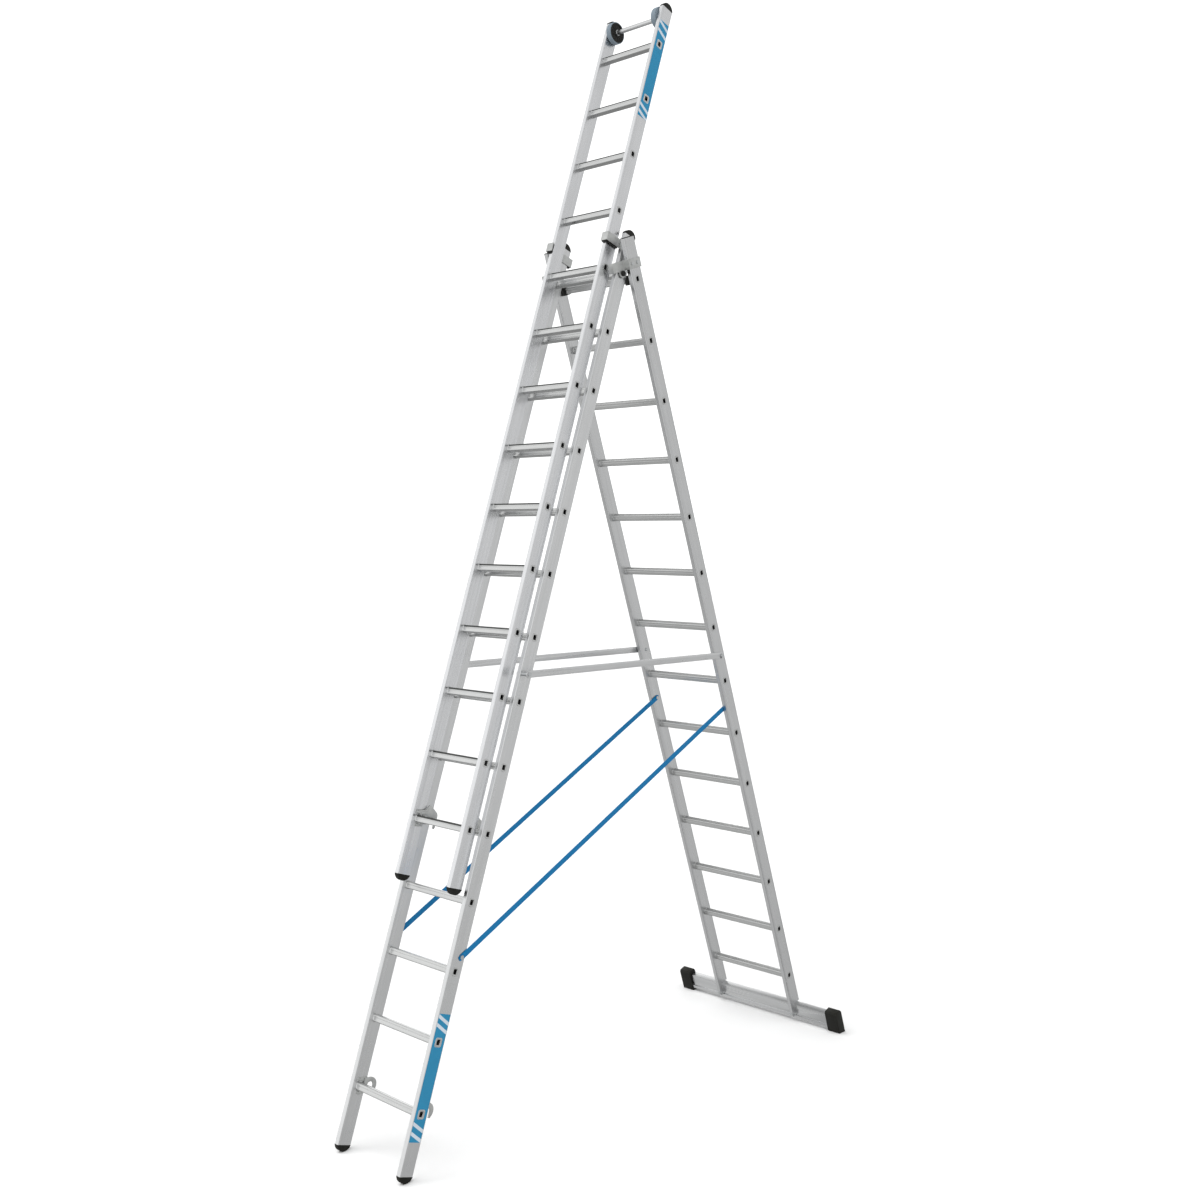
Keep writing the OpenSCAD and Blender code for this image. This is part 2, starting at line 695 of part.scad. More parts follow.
module roller_tyre() {
    core_r = roller_dia / 2 - tyre_t;
    color(tyre_grey) on_upper() translate([roller_x0, 0, roller_z]) rotate([0, 90, 0])
        rotate_extrude() polygon([
            [core_r, 0], [core_r + tyre_t - 1, 0], [core_r + tyre_t, 1],
            [core_r + tyre_t, roller_width - 1], [core_r + tyre_t - 1, roller_width],
            [core_r, roller_width]]);
}
module roller_tyre_right() roller_tyre();
module roller_tyre_left() left() roller_tyre();

// ---------- the nodes ----------

front_stile_left();
front_stile_right();
front_rungs();
front_foot_left();
front_foot_right();
front_top_cap_left();
front_top_cap_right();
front_hook_left();
front_hook_right();
guide_bracket_left();
guide_bracket_right();
guide_slider_left();
guide_slider_right();
guide_bolts();
fold_pin_left();
fold_pin_right();
fold_knob_left();
fold_knob_right();
spreader_post_left();
spreader_post_right();
front_strap_bolts();
front_label();
strap_left();
strap_right();
rear_stile_left();
rear_stile_right();
rear_rungs();
rear_end_plugs();
fold_bracket_left();
fold_bracket_right();
fold_bracket_bolts();
fold_buffer_left();
fold_buffer_right();
crossbar();
crossbar_foot_left();
crossbar_foot_right();
crossbar_bolts();
spreader_stud_left();
spreader_stud_right();
rear_strap_bolts();
spreader_left();
spreader_right();
upper_stile_left();
upper_stile_right();
upper_rungs();
upper_foot_left();
upper_foot_right();
upper_top_cap_left();
upper_top_cap_right();
upper_label();
latch_mount_left();
latch_mount_right();
latch_left();
latch_right();
roller_axle();
axle_collars();
roller_core_left();
roller_core_right();
roller_tyre_left();
roller_tyre_right();
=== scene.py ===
import json
import math

import bmesh
import bpy
from mathutils import Matrix, Vector


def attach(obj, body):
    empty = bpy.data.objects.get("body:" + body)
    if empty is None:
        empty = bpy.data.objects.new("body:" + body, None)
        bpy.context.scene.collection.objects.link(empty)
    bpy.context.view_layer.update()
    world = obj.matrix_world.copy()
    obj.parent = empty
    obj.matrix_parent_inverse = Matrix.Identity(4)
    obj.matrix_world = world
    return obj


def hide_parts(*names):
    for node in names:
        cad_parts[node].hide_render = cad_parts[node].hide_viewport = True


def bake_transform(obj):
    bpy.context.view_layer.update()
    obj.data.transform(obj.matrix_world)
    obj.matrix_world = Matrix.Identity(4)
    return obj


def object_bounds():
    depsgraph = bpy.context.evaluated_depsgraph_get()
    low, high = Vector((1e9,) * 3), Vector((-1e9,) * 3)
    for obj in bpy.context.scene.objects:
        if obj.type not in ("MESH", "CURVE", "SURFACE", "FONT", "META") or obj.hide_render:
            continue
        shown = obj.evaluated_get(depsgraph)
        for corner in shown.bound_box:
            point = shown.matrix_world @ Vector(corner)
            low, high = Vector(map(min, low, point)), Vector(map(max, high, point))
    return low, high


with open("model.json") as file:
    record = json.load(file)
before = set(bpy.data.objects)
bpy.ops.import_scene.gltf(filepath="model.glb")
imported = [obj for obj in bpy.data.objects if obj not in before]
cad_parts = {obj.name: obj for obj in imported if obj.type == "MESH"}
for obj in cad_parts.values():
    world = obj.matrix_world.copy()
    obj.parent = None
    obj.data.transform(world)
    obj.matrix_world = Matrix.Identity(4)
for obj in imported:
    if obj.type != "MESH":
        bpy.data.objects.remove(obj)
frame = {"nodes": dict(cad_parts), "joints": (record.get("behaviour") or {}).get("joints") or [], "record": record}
cad_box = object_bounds()

nodes = frame["nodes"]
joints = {j["name"]: j for j in frame["joints"]}
bodies = frame["record"]["behaviour"]["bodies"]
body_of_node = {n: b for b, members in bodies.items() for n in members}
scene = bpy.context.scene

# ---------- where the three sections stand, from the joints ----------

PITCH = 0.28
RUNGS = 14
LAST_RUNG = PITCH * (RUNGS - 1)
STILE_TOP = LAST_RUNG + 0.184
STILE_BOTTOM = -0.24
ROLLER_UP = LAST_RUNG + 0.146
HINGE_UP = LAST_RUNG + 0.0384
HINGE_GAP = 0.0565
STILE_T = 0.022
FRONT_X = 0.215
UPPER_X = 0.179
REAR_X = 0.252
CAP_R = 0.0355
CAP_CENTRE = 0.009
RUNG_HALF_D = 0.014
RUNG_HALF_H = 0.015
RUNG_R = 0.005

up = Vector(joints["extension"]["axis"]).normalized()
lean_front = math.atan2(up.y, up.z)
fold_range = math.radians(-joints["fold"]["range_deg"][0])
lean_rear = fold_range - lean_front
hinge = Vector(joints["fold"]["pos_m"])
roller_centre = Vector(joints["roller_left"]["pos_m"])

front_origin = hinge - up * LAST_RUNG
upper_origin = roller_centre - up * ROLLER_UP
FRONT = Matrix.Translation(front_origin) @ Matrix.Rotation(-lean_front, 4, "X")
UPPER = Matrix.Translation(upper_origin) @ Matrix.Rotation(-lean_front, 4, "X")
REAR = (
    Matrix.Translation(hinge)
    @ Matrix.Rotation(lean_rear, 4, "X")
    @ Matrix.Translation((0, HINGE_GAP, -HINGE_UP))
)

# ---------- material building blocks ----------


class Mat:
    """One procedural material: its principled shader and small helpers that add nodes."""

    def __init__(self, name, lean=0.0):
        self.material = bpy.data.materials.new(name)
        self.material.use_nodes = True
        self.tree = self.material.node_tree
        self.shader = self.tree.nodes["Principled BSDF"]
        self.place = self.new("ShaderNodeMapping")
        self.place.inputs["Rotation"].default_value = (lean, 0, 0)
        texture = self.new("ShaderNodeTexCoord")
        self.link(texture.outputs["Object"], self.place.inputs["Vector"])

    def new(self, kind):
        return self.tree.nodes.new(kind)

    def link(self, a, b):
        self.tree.links.new(a, b)

    def set(self, **values):
        for key, value in values.items():
            self.shader.inputs[key.replace("_", " ")].default_value = value

    def stretched(self, scale):
        node = self.new("ShaderNodeMapping")
        node.inputs["Scale"].default_value = scale
        self.link(self.place.outputs["Vector"], node.inputs["Vector"])
        return node.outputs["Vector"]

    def noise(self, scale, detail=4.0, rough=0.55, vector=None):
        node = self.new("ShaderNodeTexNoise")
        node.inputs["Scale"].default_value = scale
        node.inputs["Detail"].default_value = detail
        node.inputs["Roughness"].default_value = rough
        self.link(vector or self.place.outputs["Vector"], node.inputs["Vector"])
        return node.outputs["Fac"]

    def remap(self, value, low, high, from_low=0.25, from_high=0.75):
        node = self.new("ShaderNodeMapRange")
        node.inputs["From Min"].default_value = from_low
        node.inputs["From Max"].default_value = from_high
        node.inputs["To Min"].default_value = low
        node.inputs["To Max"].default_value = high
        self.link(value, node.inputs["Value"])
        return node.outputs["Result"]

    def math(self, operation, a, b):
        node = self.new("ShaderNodeMath")
        node.operation = operation
        for socket, value in zip(node.inputs, (a, b)):
            if isinstance(value, (int, float)):
                socket.default_value = value
            else:
                self.link(value, socket)
        return node.outputs["Value"]

    def blend(self, factor, a, b):
        node = self.new("ShaderNodeMix")
        node.data_type = "RGBA"
        self.link(factor, node.inputs["Factor"])
        for socket, value in ((node.inputs["A"], a), (node.inputs["B"], b)):
            if isinstance(value, tuple):
                socket.default_value = (*value, 1)
            else:
                self.link(value, socket)
        return node.outputs["Result"]

    def bump(self, height, strength, distance=0.001):
        node = self.new("ShaderNodeBump")
        node.inputs["Strength"].default_value = strength
        node.inputs["Distance"].default_value = distance
        self.link(height, node.inputs["Height"])
        self.link(node.outputs["Normal"], self.shader.inputs["Normal"])

    def colour(self, output):
        self.link(output, self.shader.inputs["Base Color"])

    def roughness(self, output):
        self.link(output, self.shader.inputs["Roughness"])


def aluminium(name, base, rough, lean, grain):
    """Extruded aluminium: fine die lines along grain, cloudy patches and a few handling marks."""
    m = Mat(name, lean)
    m.set(Metallic=1.0)
    fine = tuple(9.0 if g else 900.0 for g in grain)
    coarse = tuple(1.2 if g else 110.0 for g in grain)
    lines = m.noise(1.0, 3.0, 0.6, m.stretched(fine))
    bands = m.noise(1.0, 2.0, 0.5, m.stretched(coarse))
    clouds = m.noise(5.0, 5.0, 0.6)
    light = tuple(min(1.0, c * 1.04) for c in base)
    dark = tuple(c * 0.93 for c in base)
    tone = m.blend(m.remap(clouds, 0.0, 1.0), dark, light)
    streaked = m.blend(m.remap(bands, 0.0, 0.22), tone, tuple(c * 0.72 for c in base))
    line_tone = m.blend(m.remap(lines, 0.0, 0.20), streaked, tuple(c * 0.6 for c in base))
    m.colour(line_tone)
    banded = m.remap(bands, -0.05, 0.06)
    cloudy = m.remap(clouds, rough - 0.04, rough + 0.06)
    m.roughness(m.math("ADD", banded, cloudy))
    m.bump(lines, 0.10, 0.0002)
    return m.material


def cast_metal(name, base, lean):
    """Pressed or cast fittings: greyer, with a slight pebble and darker cloudy patches."""
    m = Mat(name, lean)
    m.set(Metallic=1.0)
    pebble = m.noise(420.0, 4.0)
    clouds = m.noise(24.0, 4.0)
    dark = tuple(c * 0.72 for c in base)
    m.colour(m.blend(m.remap(clouds, 0.0, 1.0), dark, base))
    m.roughness(m.remap(pebble, 0.38, 0.56))
    m.bump(pebble, 0.25, 0.0003)
    return m.material


def zinc(name, lean):
    """Zinc-plated steel: bluish spangle and fine turning lines."""
    m = Mat(name, lean)
    m.set(Metallic=1.0)
    cells = m.new("ShaderNodeTexVoronoi")
    cells.inputs["Scale"].default_value = 260.0
    m.link(m.place.outputs["Vector"], cells.inputs["Vector"])
    m.colour(m.blend(cells.outputs["Distance"], (0.50, 0.52, 0.54), (0.70, 0.71, 0.70)))
    m.roughness(m.remap(m.noise(90.0), 0.24, 0.42))
    m.bump(m.noise(700.0), 0.12, 0.0002)
    return m.material


def moulding(name, base, rough, grain_scale, marks=0.5):
    """Moulded plastic or rubber: fine spark texture, slightly dusty and worn in patches."""
    m = Mat(name)
    m.set(IOR=1.33)
    grain = m.noise(grain_scale, 3.0)
    dust = m.noise(38.0, 6.0, 0.65)
    pale = tuple(c + marks * 0.022 for c in base)
    m.colour(m.blend(m.remap(dust, 0.0, 1.0, 0.4, 0.8), base, pale))
    grainy = m.remap(grain, -0.06, 0.06)
    dusty = m.remap(dust, rough - 0.05, rough + 0.08)
    m.roughness(m.math("ADD", grainy, dusty))
    m.bump(grain, 0.35, 0.0003)
    return m.material


def film(name, base, rough, lean):
    """Printed plastic film: even ink, faint orange peel, a few rubbed specks."""
    m = Mat(name, lean)
    m.set(IOR=1.4, Coat_Weight=0.10, Coat_Roughness=0.25)
    specks = m.noise(160.0, 6.0, 0.7)
    tone = m.noise(9.0, 3.0)
    pale = tuple(c * 0.85 + 0.12 for c in base)
    thin = tuple(c * 0.92 for c in base)
    full = tuple(min(1, c * 1.06) for c in base)
    inked = m.blend(m.remap(tone, 0.0, 1.0), thin, full)
    m.colour(m.blend(m.remap(specks, 0.0, 0.6, 0.66, 0.8), inked, pale))
    m.roughness(m.remap(specks, rough - 0.06, rough + 0.08))
    m.bump(m.noise(520.0, 2.0), 0.08, 0.0002)
    return m.material


def webbing(name, base, lean):
    """Flat woven webbing: a plain weave of thick ribs, with painted shade between the yarns."""
    m = Mat(name, lean)
    m.set(Sheen_Weight=0.05, Sheen_Roughness=0.5, IOR=1.3)
    ribs = m.new("ShaderNodeTexWave")
    ribs.bands_direction = "Y"
    ribs.inputs["Scale"].default_value = 110.0
    ribs.inputs["Distortion"].default_value = 0.6
    ribs.inputs["Detail"].default_value = 1.0
    yarns = m.new("ShaderNodeTexWave")
    yarns.bands_direction = "Z"
    yarns.inputs["Scale"].default_value = 150.0
    yarns.inputs["Distortion"].default_value = 0.4
    yarns.inputs["Detail"].default_value = 1.0
    for wave in (ribs, yarns):
        m.link(m.place.outputs["Vector"], wave.inputs["Vector"])
    over = m.remap(yarns.outputs["Fac"], 0.55, 1.0, 0.0, 1.0)
    weave = m.math("MULTIPLY", ribs.outputs["Fac"], over)
    fuzz = m.noise(60.0, 5.0)
    worn = tuple(c * 0.88 for c in base)
    fresh = tuple(min(1, c * 1.1) for c in base)
    tone = m.blend(m.remap(fuzz, 0.0, 1.0), worn, fresh)
    # Where the weave is low, between the yarns, the colour is darkened as painted shade; the relief itself is the
    # bump below.
    m.colour(m.blend(weave, tuple(c * 0.62 for c in base), tone))
    m.roughness(m.remap(weave, 0.9, 0.68, 0.0, 1.0))
    m.bump(weave, 0.7, 0.0006)
    return m.material


ALU = (0.78, 0.785, 0.79)
along_z = (False, False, True)
along_x = (True, False, False)
along_y = (False, True, False)
mats = {
    # The upper stiles are a lighter copy of the stile aluminium as painted light; the rear stiles and rear rungs
    # are darker copies as painted shade.
    "stile_front": aluminium("stile_front", ALU, 0.28, lean_front, along_z),
    "stile_upper_painted_light": aluminium("stile_upper_painted_light", (0.84, 0.845, 0.86), 0.26, lean_front, along_z),
    "stile_rear_painted_shade": aluminium("stile_rear_painted_shade", (0.70, 0.705, 0.71), 0.28, -lean_rear, along_z),
    "rung_front": aluminium("rung_front", (0.70, 0.705, 0.702), 0.26, lean_front, along_x),
    "rung_rear_painted_shade": aluminium("rung_rear_painted_shade", (0.64, 0.645, 0.642), 0.28, -lean_rear, along_x),
    # A dark copy of the rung aluminium, for a band of painted shade along the upper rungs' front top edge.
    "painted_shade_upper": aluminium("painted_shade_upper", (0.10, 0.103, 0.10), 0.40, lean_front, along_x),
    "bar_cross": aluminium("bar_cross", (0.77, 0.775, 0.78), 0.28, -lean_rear, along_x),
    "bar_axle": aluminium("bar_axle", (0.77, 0.775, 0.78), 0.28, lean_front, along_x),
    "bar_spreader": aluminium("bar_spreader", (0.76, 0.765, 0.77), 0.28, 0.0, along_y),
    "cast_front": cast_metal("cast_front", (0.72, 0.73, 0.72), lean_front),
    "cast_rear": cast_metal("cast_rear", (0.70, 0.71, 0.70), -lean_rear),
    "zinc": zinc("zinc", lean_front),
    "black_rubber": moulding("black_rubber", (0.006, 0.006, 0.004), 0.52, 900.0),
    "black_plastic": moulding("black_plastic", (0.006, 0.006, 0.005), 0.42, 600.0),
    "grey_tyre": moulding("grey_tyre", (0.17, 0.21, 0.245), 0.55, 500.0, marks=0.9),
    "blue_film": film("blue_film", (0.008, 0.200, 0.370), 0.38, lean_front),
    "white_film": film("white_film", (0.52, 0.58, 0.64), 0.36, lean_front),
}

# ---------- mesh building blocks ----------


def add_object(name, bm, body, material, smooth_angle, at=None):
    """Turns bm into a piece in the row frame, which rides on body unless that is None."""
    mesh = bpy.data.meshes.new(name)
    bmesh.ops.recalc_face_normals(bm, faces=bm.faces)
    if at is not None:
        bm.transform(at)
    bm.to_mesh(mesh)
    bm.free()
    mesh.materials.append(mats[material])
    mesh.polygons.foreach_set("use_smooth", [True] * len(mesh.polygons))
    mesh.set_sharp_from_angle(angle=math.radians(smooth_angle))
    obj = bpy.data.objects.new(name, mesh)
    scene.collection.objects.link(obj)
    if body:
        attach(obj, body)
    return obj


def rounded_rect(half_y, half_z, r, steps):
    """Points round a rectangle with rounded corners, counter-clockwise in (y, z)."""
    points = []
    for sy, sz, start in ((1, 1, 0), (-1, 1, 90), (-1, -1, 180), (1, -1, 270)):
        for i in range(steps + 1):
            a = math.radians(start + 90 * i / steps)
            y = sy * (half_y - r) + r * math.cos(a)
            z = sz * (half_z - r) + r * math.sin(a)
            points.append((y, z))
    return points


def skin(bm, rings, closed=True):
    """Quads between rings of equally many vertices; closed joins the last ring to the first."""
    pairs = list(zip(rings, rings[1:]))
    if closed:
        pairs.append((rings[-1], rings[0]))
    for a, b in pairs:
        for i in range(len(a)):
            j = (i + 1) % len(a)
            bm.faces.new((a[i], a[j], b[j], b[i]))


HARD_EDGE = math.radians(30.0)


def soften(node, width, material, segments=2):
    """A copy of a CAD node with its hard edges rounded over, which stands for it."""
    bm = bmesh.new()
    bm.from_mesh(nodes[node].data)
    bmesh.ops.remove_doubles(bm, verts=bm.verts, dist=1e-6)
    bmesh.ops.dissolve_limit(bm, angle_limit=math.radians(0.5), verts=bm.verts, edges=bm.edges)
    edges = [e for e in bm.edges if e.is_manifold and e.calc_face_angle(0.0) > HARD_EDGE]
    bmesh.ops.bevel(
        bm, geom=edges, offset=width, offset_type="OFFSET", segments=segments, profile=0.6,
        affect="EDGES", clamp_overlap=True,
    )
    obj = add_object(node + "_piece", bm, body_of_node[node], material, 40.0)
    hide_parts(node)


# ---------- rungs: grooved tubes, swaged against the stiles, rolled at their open ends ----------


ON_FACE = 0.00005
FLAT_POINTS = 24
RIDGE_PITCH = 0.0036
RIDGE_DEPTH = 0.0007
GROOVE_LOW = 0.0012
GROOVE_HIGH = 0.0046
GROOVE_DEPTH = 0.0008


def rung_profile():
    """The rung's outline as (y, z) points: a ridged top face, and a groove at its front and back."""
    base = rounded_rect(RUNG_HALF_D, RUNG_HALF_H, RUNG_R, 6)
    points = []
    count = len(base)
    for i in range(count):
        a = Vector((*base[i], 0))
        b = Vector((*base[(i + 1) % count], 0))
        pieces = 1 if (b - a).length < RUNG_R else FLAT_POINTS
        for k in range(pieces):
            points.append(a.lerp(b, k / pieces))
    grooved = []
    for p in points:
        y, z = p.x, p.y
        if z > RUNG_HALF_H - ON_FACE:
            turn = 2 * math.pi * (y + RUNG_HALF_D - RUNG_R) / RIDGE_PITCH
            z -= RIDGE_DEPTH * (0.5 - 0.5 * math.cos(turn))
        elif abs(y) > RUNG_HALF_D - ON_FACE and GROOVE_LOW < z < GROOVE_HIGH:
            turn = 2 * math.pi * (z - GROOVE_LOW) / (GROOVE_HIGH - GROOVE_LOW)
            y -= math.copysign(GROOVE_DEPTH * (0.5 - 0.5 * math.cos(turn)), y)
        grooved.append((y, z))
    return grooved


def scaled_outline(profile, grow):
    """The profile's points moved outward by grow."""
    out = []
    for y, z in profile:
        length = math.hypot(y, z)
        out.append((y * (1 + grow / length), z * (1 + grow / length)))
    return out


def rim_outline(profile, half_y, half_z, power=2.6):
    """The profile's points pushed onto a rounder, softened oblong of the given half sizes."""
    out = []
    for y, z in profile:
        length = math.hypot(y, z)
        c, s = abs(y) / length, abs(z) / length
        r = ((c / half_y) ** power + (s / half_z) ** power) ** (-1 / power)
        out.append((y / length * r, z / length * r))
    return out


# Bounds of the band of painted shade along the rung's front top edge.
PAINTED_SHADE_Y = 0.0095
PAINTED_SHADE_Z = 0.0070


def rung_mesh(bm, half, z0):
    """One rung from -half to half at height z0: rolled rims, swaged collars, an open bore, and the faces of its
    front top edge set apart for a band of painted shade.
    """
    profile = rung_profile()
    swage = half - STILE_T
    outer = [
        (-half - 0.0010, rim_outline(profile, 0.0160, 0.0170)),
        (-half - 0.0008, rim_outline(profile, 0.0168, 0.0178)),
        (-half - 0.0001, rim_outline(profile, 0.0172, 0.0182)),
        (-half, rim_outline(profile, 0.0170, 0.0180)),
        (-half, profile),
        (-swage, profile),
        (-swage, rim_outline(profile, 0.0166, 0.0176)),
        (-swage + 0.0008, rim_outline(profile, 0.0170, 0.0180)),
        (-swage + 0.0024, rim_outline(profile, 0.0168, 0.0178)),
        (-swage + 0.0034, scaled_outline(profile, 0.0010)),
        (-swage + 0.0050, profile),
    ]
    span = len(outer) - 1
    outer = outer + [(-x, outline) for x, outline in reversed(outer)]
    inner = [
        (half + 0.0009, rim_outline(profile, 0.0125, 0.0138, 3.4)),
        (half + 0.0004, rim_outline(profile, 0.0094, 0.0108, 5.0)),
        (half - 0.0012, rim_outline(profile, 0.0086, 0.0102, 5.5)),
        (half - 0.0050, rim_outline(profile, 0.0100, 0.0114, 4.5)),
        (half - 0.0140, scaled_outline(profile, -0.0022)),
        (half - 0.0260, scaled_outline(profile, -0.0020)),
    ]
    inner = inner + [(-x, outline) for x, outline in reversed(inner)]
    first = len(bm.faces)
    rings = [[bm.verts.new((x, y, z + z0)) for y, z in outline] for x, outline in outer + inner]
    skin(bm, rings)
    top = RUNG_HALF_H - ON_FACE
    # The front top edge's faces take the second material, a band of painted shade.
    painted_shade_faces = [i for i, (y, z) in enumerate(profile) if y < -PAINTED_SHADE_Y and PAINTED_SHADE_Z < z < top]
    bm.faces.ensure_lookup_table()
    for i in painted_shade_faces:
        bm.faces[first + span * len(profile) + i].material_index = 1


def make_rungs(prefix, half, matrix, material, painted_shade=None):
    """All rungs of a section; the last argument, where given, is the dark material of a band of painted shade
    along the rungs' front top edge.
    """
    bm = bmesh.new()
    for k in range(RUNGS):
        rung_mesh(bm, half, k * PITCH)
    obj = add_object(prefix + "_rungs_piece", bm, prefix, material, 28.0, matrix)
    obj.data.materials.append(mats[painted_shade or material])
    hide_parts(prefix + "_rungs")


make_rungs("front", FRONT_X, FRONT, "rung_front")
# Only the upper rungs carry the dark band of painted shade.
make_rungs("upper", UPPER_X, UPPER, "rung_front", "painted_shade_upper")
make_rungs("rear", REAR_X, REAR, "rung_rear_painted_shade")

# ---------- rounded end caps with a soft rim and tread ribs ----------


CAP_STEPS = 56
CAP_PLAIN = 6
CAP_RIB = 0.0006
CAP_RIB_REACH = 0.0105


def cap_mesh(x_centre, sign):
    """An arched cap: a segment of a disc, rounded over at both faces, with shallow grip ribs."""
    bm = bmesh.new()
    limit = math.acos(CAP_CENTRE / CAP_R)
    round_over = [(0.0102, 0.0), (0.0112, -0.0006), (0.0115, -0.0016)]
    widths = [(-x, grow) for x, grow in reversed(round_over)] + round_over
    rings = []
    for x, grow in widths:
        ring = []
        for i in range(CAP_STEPS + 1):
            a = -limit + 2 * limit * i / CAP_STEPS
            ribbed = i % 4 in (1, 2) and CAP_PLAIN < i < CAP_STEPS - CAP_PLAIN
            rib = CAP_RIB if ribbed and abs(x) < CAP_RIB_REACH else 0.0
            r = CAP_R + grow - rib
            ring.append(bm.verts.new((x, r * math.sin(a), sign * (r * math.cos(a) - CAP_CENTRE))))
        rings.append(ring)
    for a, b in zip(rings, rings[1:]):
        for i in range(CAP_STEPS):
            bm.faces.new((a[i], a[i + 1], b[i + 1], b[i]))
    for ring in (rings[0], rings[-1]):
        bm.faces.new(ring)
    bm.faces.new([r[0] for r in rings] + [r[-1] for r in reversed(rings)])
    bmesh.ops.translate(bm, verts=bm.verts, vec=(x_centre, 0, 0))
    return bm


for prefix, half, matrix in (("front", FRONT_X, FRONT), ("upper", UPPER_X, UPPER)):
    for side, sx in (("left", -1), ("right", 1)):
        for part, z, sign in (("foot", STILE_BOTTOM, -1), ("top_cap", STILE_TOP, 1)):
            node = f"{prefix}_{part}_{side}"
            bm = cap_mesh(sx * (half - STILE_T / 2), sign)
            place = matrix @ Matrix.Translation((0, 0, z))
            obj = add_object(node + "_piece", bm, prefix, "black_rubber", 50.0, place)
            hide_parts(node)

# ---------- fittings: every hard edge rounded over ----------

for side in ("left", "right"):
    soften(f"crossbar_foot_{side}", 0.0030, "black_rubber", 3)
    soften(f"fold_buffer_{side}", 0.0015, "black_plastic")
    soften(f"guide_slider_{side}", 0.0008, "black_plastic")
    soften(f"front_hook_{side}", 0.0010, "cast_front")
    soften(f"guide_bracket_{side}", 0.0009, "cast_front")
    soften(f"fold_bracket_{side}", 0.0009, "cast_rear")
    soften(f"latch_{side}", 0.0010, "cast_front")
    soften(f"latch_mount_{side}", 0.0006, "cast_front")
    soften(f"spreader_{side}", 0.0007, "bar_spreader")
soften("crossbar", 0.0012, "bar_cross")
soften("rear_end_plugs", 0.0008, "black_rubber")

# ---------- wall rollers: a ribbed black core in a grey tyre that wraps its outer side ----------


ROLLER_X = UPPER_X - STILE_T - 0.030
RIBS = 12
RIB_FROM = 0.019
RIB_TO = 0.037
RIB_DEPTH = 0.0022
MID_WIDTH = 0.013
CORE = [
    (0.01105, 0.0003), (0.0140, 0.0), (0.0165, 0.0006), (0.0172, 0.0020), (0.0200, 0.0042),
    (0.0360, 0.0042), (0.0385, 0.0030), (0.0402, 0.0008), (0.0412, 0.0005), (0.0458, 0.0005),
    (0.0458, 0.0250), (0.0402, 0.0250), (0.0370, 0.0220), (0.0200, 0.0220), (0.0172, 0.0252),
    (0.01105, 0.0257),
]
TYRE = [
    (0.0460, 0.0002), (0.0474, 0.0), (0.0488, 0.0005), (0.0497, 0.0016), (0.0500, 0.0035),
    (0.0500, 0.0225), (0.0497, 0.0244), (0.0488, 0.0255), (0.0474, 0.0260), (0.0250, 0.0260),
    (0.0245, 0.0254), (0.0460, 0.0253),
]


def lathe(points, sx, steps, ribbed=False):
    """A ring turned about the roller's axis from (radius, x) points, with ribs inside its web."""
    bm = bmesh.new()
    rings = []
    for i in range(steps):
        a = 2 * math.pi * i / steps
        raised = ribbed and i % (steps // RIBS) < 2
        ring = []
        for r, x in points:
            lift = RIB_DEPTH if raised and RIB_FROM <= r <= RIB_TO and x < MID_WIDTH else 0.0
            side_x = sx * (ROLLER_X + x - lift)
            ring.append(bm.verts.new((side_x, r * math.cos(a), r * math.sin(a))))
        rings.append(ring)
    skin(bm, rings)
    return bm


for side, sx in (("left", -1), ("right", 1)):
    place = UPPER @ Matrix.Translation((0, 0, ROLLER_UP))
    body = f"roller_{side}"
    bm = lathe(CORE, sx, 72, ribbed=True)
    obj = add_object(
        f"roller_core_{side}_piece", bm, body, "black_plastic", 40.0, place,
    )
    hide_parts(f"roller_core_{side}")
    bm = lathe(TYRE, sx, 96)
    obj = add_object(f"roller_tyre_{side}_piece", bm, body, "grey_tyre", 40.0, place)
    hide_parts(f"roller_tyre_{side}")

# ---------- labels: blue film with white stripes at both ends ----------


LABEL_HALF = 0.030
LABEL_R = 0.002
CUT_OUT = (0.018, 0.019, 0.009)
FILM_T = 0.0003
STRIPE_HALF = 0.0072
STRIPE_REACH = 0.0299
STRIPE_STEPS = 12
STRIPE_MIN = 0.0004
STRIPE_FACES = (0.0002, 0.0004)
INSET = 0.0002


def clip_band(y, centre, drop, low, high):
    """The height span of a slanting stripe at y, kept inside the label."""
    mid = centre - drop * (y + LABEL_HALF)
    return max(low, mid - STRIPE_HALF), min(high, mid + STRIPE_HALF)


